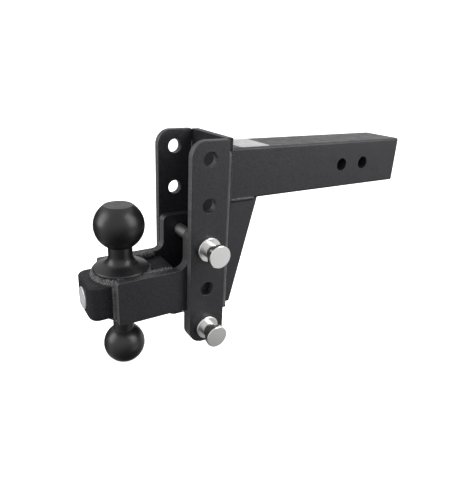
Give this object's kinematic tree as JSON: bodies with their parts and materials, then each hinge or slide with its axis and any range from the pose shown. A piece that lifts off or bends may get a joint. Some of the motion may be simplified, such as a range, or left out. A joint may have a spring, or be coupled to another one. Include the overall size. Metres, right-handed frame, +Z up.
{
  "type": "trailer hitch with ball",
  "caption": "Adjustable drop hitch: square shank, upright channel with pin holes, and a ball mount with one ball up and one down, held by cross pins.",
  "frame": {"origin": "on the shank's axis, at the middle of the receiver pin hole nearer the channel", "axes": "+X along the shank, forwards into the receiver; +Y along the receiver pin hole, to the vehicle's left; +Z up"},
  "size_m": [0.4734, 0.1464, 0.2821],
  "materials": {
    "black_powder_coat": "satin, finely textured black powder coat",
    "coated_weld": "weld bead under the same black powder coat",
    "ball_coat": "smooth satin black coat on machined steel",
    "stainless_pin": "turned and lightly brushed stainless steel",
    "spring_wire": "bright drawn spring wire",
    "silver_label": "satin silver film label, blank",
    "silver_badge": "satin silver disc, blank"
  },
  "bodies": {
    "frame": {"shank": "black_powder_coat", "channel_web": "black_powder_coat", "left_channel_plate": "black_powder_coat", "right_channel_plate": "black_powder_coat", "channel_gusset": "black_powder_coat", "shank_weld": "coated_weld", "channel_welds": "coated_weld", "gusset_welds": "coated_weld", "left_mount_plate": "black_powder_coat", "right_mount_plate": "black_powder_coat", "ball_block": "black_powder_coat", "mount_welds": "coated_weld", "upper_ball": "ball_coat", "lower_ball": "ball_coat", "upper_ball_weld": "coated_weld", "lower_ball_weld": "coated_weld", "capacity_label": "silver_label", "front_badge": "silver_badge"},
    "upper_pin": {"upper_pin": "stainless_pin"},
    "lower_pin": {"lower_pin": "stainless_pin"},
    "upper_clip": {"upper_clip": "spring_wire"},
    "lower_clip": {"lower_clip": "spring_wire"}
  },
  "joints": [
    {"name": "upper_pin_pull", "type": "slide", "parent": "frame", "child": "upper_pin", "axis": [0, -1, 0], "range_m": [0, 0.13]},
    {"name": "lower_pin_pull", "type": "slide", "parent": "frame", "child": "lower_pin", "axis": [0, -1, 0], "range_m": [0, 0.13]},
    {"name": "upper_clip_pull", "type": "slide", "parent": "upper_pin", "child": "upper_clip", "axis": [0, 0, 1], "range_m": [0, 0.03], "deforming": ["upper_clip"]},
    {"name": "lower_clip_pull", "type": "slide", "parent": "lower_pin", "child": "lower_clip", "axis": [0, 0, 1], "range_m": [0, 0.03], "deforming": ["lower_clip"]}
  ]
}
